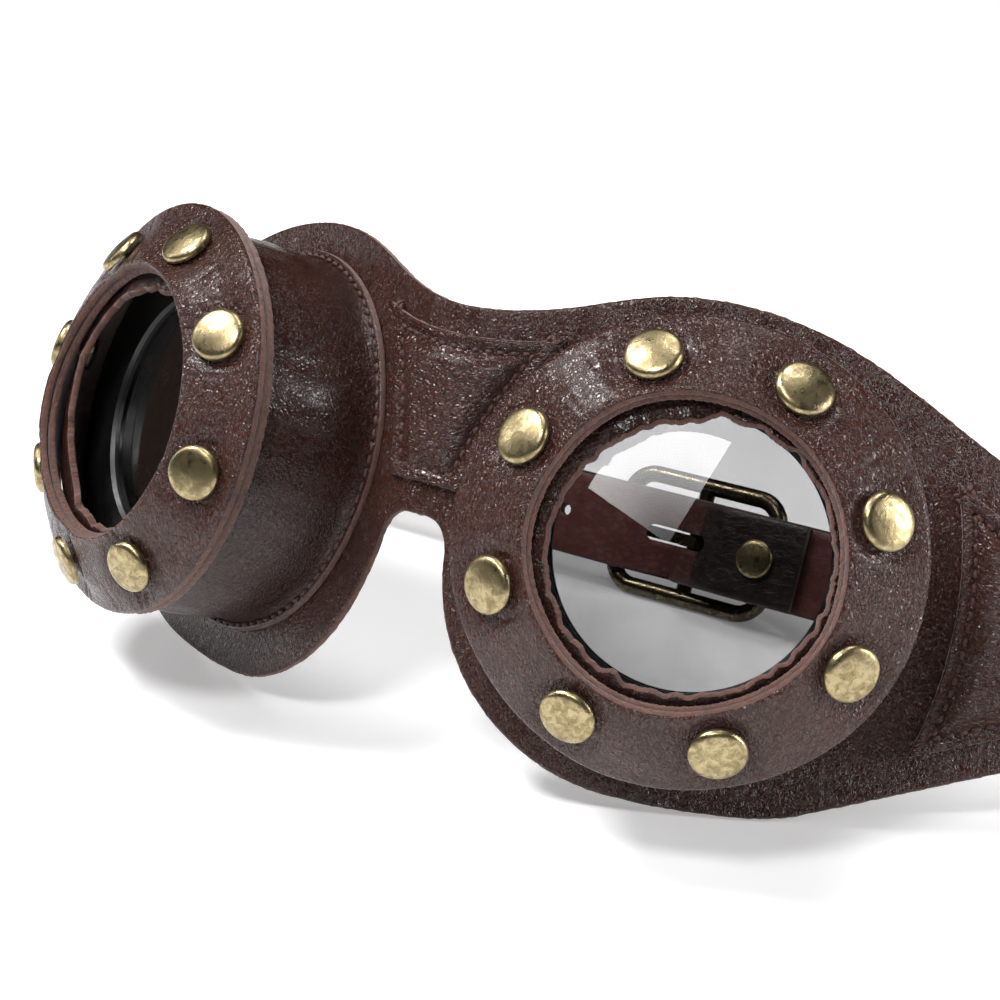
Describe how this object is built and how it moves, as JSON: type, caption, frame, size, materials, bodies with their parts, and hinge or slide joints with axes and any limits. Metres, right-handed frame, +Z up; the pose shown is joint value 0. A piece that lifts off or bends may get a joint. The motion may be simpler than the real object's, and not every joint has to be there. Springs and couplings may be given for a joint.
{
  "type": "motorcycle goggles",
  "caption": "Two-lens leather goggles: a shaped mask with deep riveted cups, recessed tinted lenses, sewn padded patches and a buckled strap that swings on temple rivets.",
  "frame": {"origin": "on the table, below the middle of the whole object as it rests on the mask's lower edge and the buckle", "axes": "+Z up from the table, -Y the way the lenses face, +X towards the wearer's left temple"},
  "size_m": [0.234, 0.118, 0.0895],
  "materials": {
    "brown_leather": "pebbled, semi-gloss, dark chocolate brown",
    "strap_leather": "smooth, satin, dark brown",
    "raw_leather": "raw cut edge, matt reddish brown",
    "lining_fabric": "short-pile lining cloth",
    "foam_padding": "sheet foam",
    "black_plastic": "moulded black",
    "tinted_lens": "polished, light grey tint",
    "antique_brass": "antique, brushed dome with dark rim"
  },
  "bodies": {
    "mask": {"mask_panel": "brown_leather", "left_lining": "lining_fabric", "right_lining": "lining_fabric", "bridge_patch": "brown_leather", "bridge_padding": "foam_padding", "left_temple_patch": "brown_leather", "right_temple_patch": "brown_leather", "left_temple_padding": "foam_padding", "right_temple_padding": "foam_padding", "left_ring_face": "brown_leather", "left_ring_backing": "raw_leather", "left_cup_wall": "brown_leather", "left_ring_rivets": "antique_brass", "left_ring_rivet_backs": "antique_brass", "left_lens_housing": "black_plastic", "left_lens": "tinted_lens", "left_lens_retainer": "black_plastic", "left_temple_rivet": "antique_brass", "right_ring_face": "brown_leather", "right_ring_backing": "raw_leather", "right_cup_wall": "brown_leather", "right_ring_rivets": "antique_brass", "right_ring_rivet_backs": "antique_brass", "right_lens_housing": "black_plastic", "right_lens": "tinted_lens", "right_lens_retainer": "black_plastic", "right_temple_rivet": "antique_brass"},
    "strap": {"left_strap": "strap_leather", "right_strap": "strap_leather", "fold_rivet": "antique_brass"},
    "buckle": {"buckle_frame": "antique_brass"},
    "prong": {"buckle_prong": "antique_brass"},
    "keeper": {"strap_keeper": "strap_leather"}
  },
  "joints": [
    {"name": "strap_swing", "type": "hinge", "parent": "mask", "child": "strap", "pos_m": [0, 0.02971, 0.02243], "axis": [1, 0, 0], "range_deg": [-35, 35]},
    {"name": "buckle_tilt", "type": "hinge", "parent": "strap", "child": "buckle", "pos_m": [0.0135, 0.05001, 0.01254], "axis": [0, 0.4381, 0.8989], "range_deg": [-2, 2]},
    {"name": "prong_lift", "type": "hinge", "parent": "buckle", "child": "prong", "pos_m": [0.0135, 0.05001, 0.01254], "axis": [0, -0.4381, -0.8989], "range_deg": [0, 5]},
    {"name": "keeper_slide", "type": "slide", "parent": "strap", "child": "keeper", "axis": [1, 0, 0], "range_m": [-0.004, 0.036]}
  ]
}
